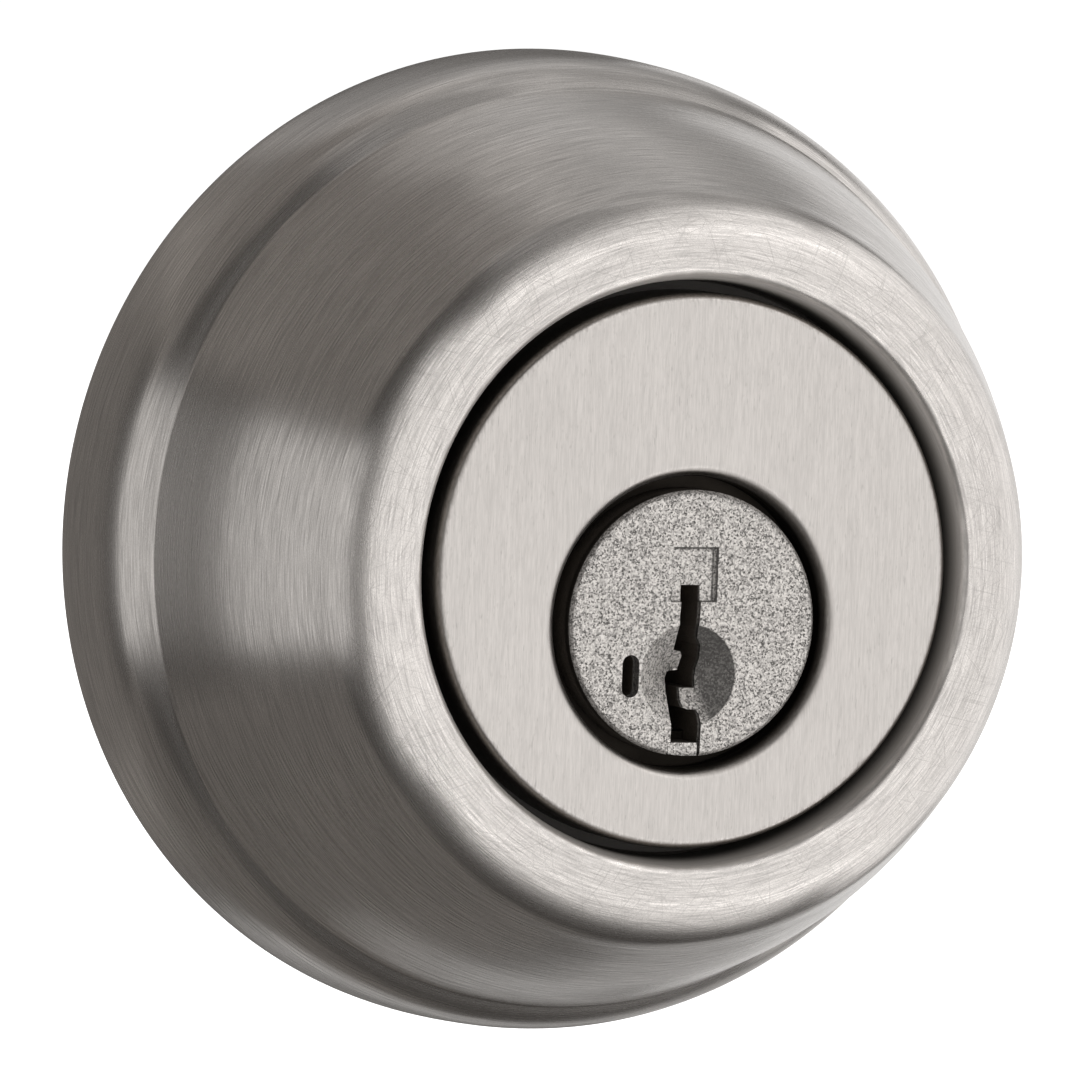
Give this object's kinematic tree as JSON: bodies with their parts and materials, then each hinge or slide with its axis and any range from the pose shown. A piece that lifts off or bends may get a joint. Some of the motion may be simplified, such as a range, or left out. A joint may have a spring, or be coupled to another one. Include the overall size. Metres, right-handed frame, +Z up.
{
  "type": "deadbolt keyed outside cylinder unit",
  "caption": "Round bell-shaped deadbolt cylinder for the outside of a door, with a satin face plate, an offset keyed plug that turns and a D-section tailpiece.",
  "frame": {"origin": "on the bell's axis, in the plane of the door's outside face", "axes": "+Y runs through the door towards the inside, along the tailpiece; the keyed face looks along -Y; +Z is up; +X is to the right as seen from outside"},
  "size_m": [0.067, 0.091, 0.067],
  "materials": {
    "bell_nickel": "satin nickel plate over a drawn shell, fine brushing round the axis",
    "plate_nickel": "satin nickel plate, fine straight vertical brushing",
    "zinc_casting": null,
    "hard_steel": "hardened steel, dark and oiled",
    "plug_zinc": null,
    "bright_shim": "stamped, smooth",
    "brass_part": "turned brass",
    "spring_steel": "drawn spring wire and strip, smooth",
    "rack_steel": "stamped steel, tumbled",
    "carrier_zinc": "zinc die casting",
    "sidebar_brass": "extruded brass bar",
    "tail_steel": "zinc-plated cold-formed steel, light burnish lines"
  },
  "bodies": {
    "housing": {"trim_ring": "bell_nickel", "face_plate": "plate_nickel", "reinforcing_ring": "zinc_casting", "hardened_plate": "hard_steel", "cylinder_body": "zinc_casting", "body_hardened_pins": "hard_steel"},
    "plug_body": {"plug": "plug_zinc", "keyway_shim": "bright_shim", "spring_cover": "brass_part", "plug_hardened_pins": "hard_steel", "plug_clip": "spring_steel", "tailpiece_snap_ring": "spring_steel", "pin_1": "brass_part", "pin_2": "brass_part", "pin_3": "brass_part", "pin_4": "brass_part", "pin_5": "brass_part", "pin_spring_1": "spring_steel", "pin_spring_2": "spring_steel", "pin_spring_3": "spring_steel", "pin_spring_4": "spring_steel", "pin_spring_5": "spring_steel"},
    "carrier_body": {"carrier": "carrier_zinc", "carrier_spring": "spring_steel", "sidebar_spring_rear": "spring_steel", "sidebar_spring_front": "spring_steel", "rack_1": "rack_steel", "rack_2": "rack_steel", "rack_3": "rack_steel", "rack_4": "rack_steel", "rack_5": "rack_steel"},
    "sidebar_body": {"sidebar": "sidebar_brass"},
    "tail_body": {"tailpiece": "tail_steel"}
  },
  "joints": [
    {"name": "plug_turn", "type": "hinge", "parent": "housing", "child": "plug_body", "pos_m": [0, -0.015, -0.00344], "axis": [0, 1, 0], "range_deg": [-90, 90]},
    {"name": "tailpiece_lost_motion", "type": "hinge", "parent": "plug_body", "child": "tail_body", "pos_m": [0, 0.002, -0.00344], "axis": [0, 1, 0], "range_deg": [0, 90]},
    {"name": "carrier_shift", "type": "slide", "parent": "plug_body", "child": "carrier_body", "axis": [0, 1, 0], "range_m": [0, 0.0017], "stiffness_N_per_m": 300, "springref_m": -0.002, "deforming": ["carrier_spring"]},
    {"name": "sidebar_slide", "type": "slide", "parent": "carrier_body", "child": "sidebar_body", "axis": [-1, 0, 0], "range_m": [0, 0.0009], "deforming": ["sidebar_spring_rear", "sidebar_spring_front"]}
  ]
}
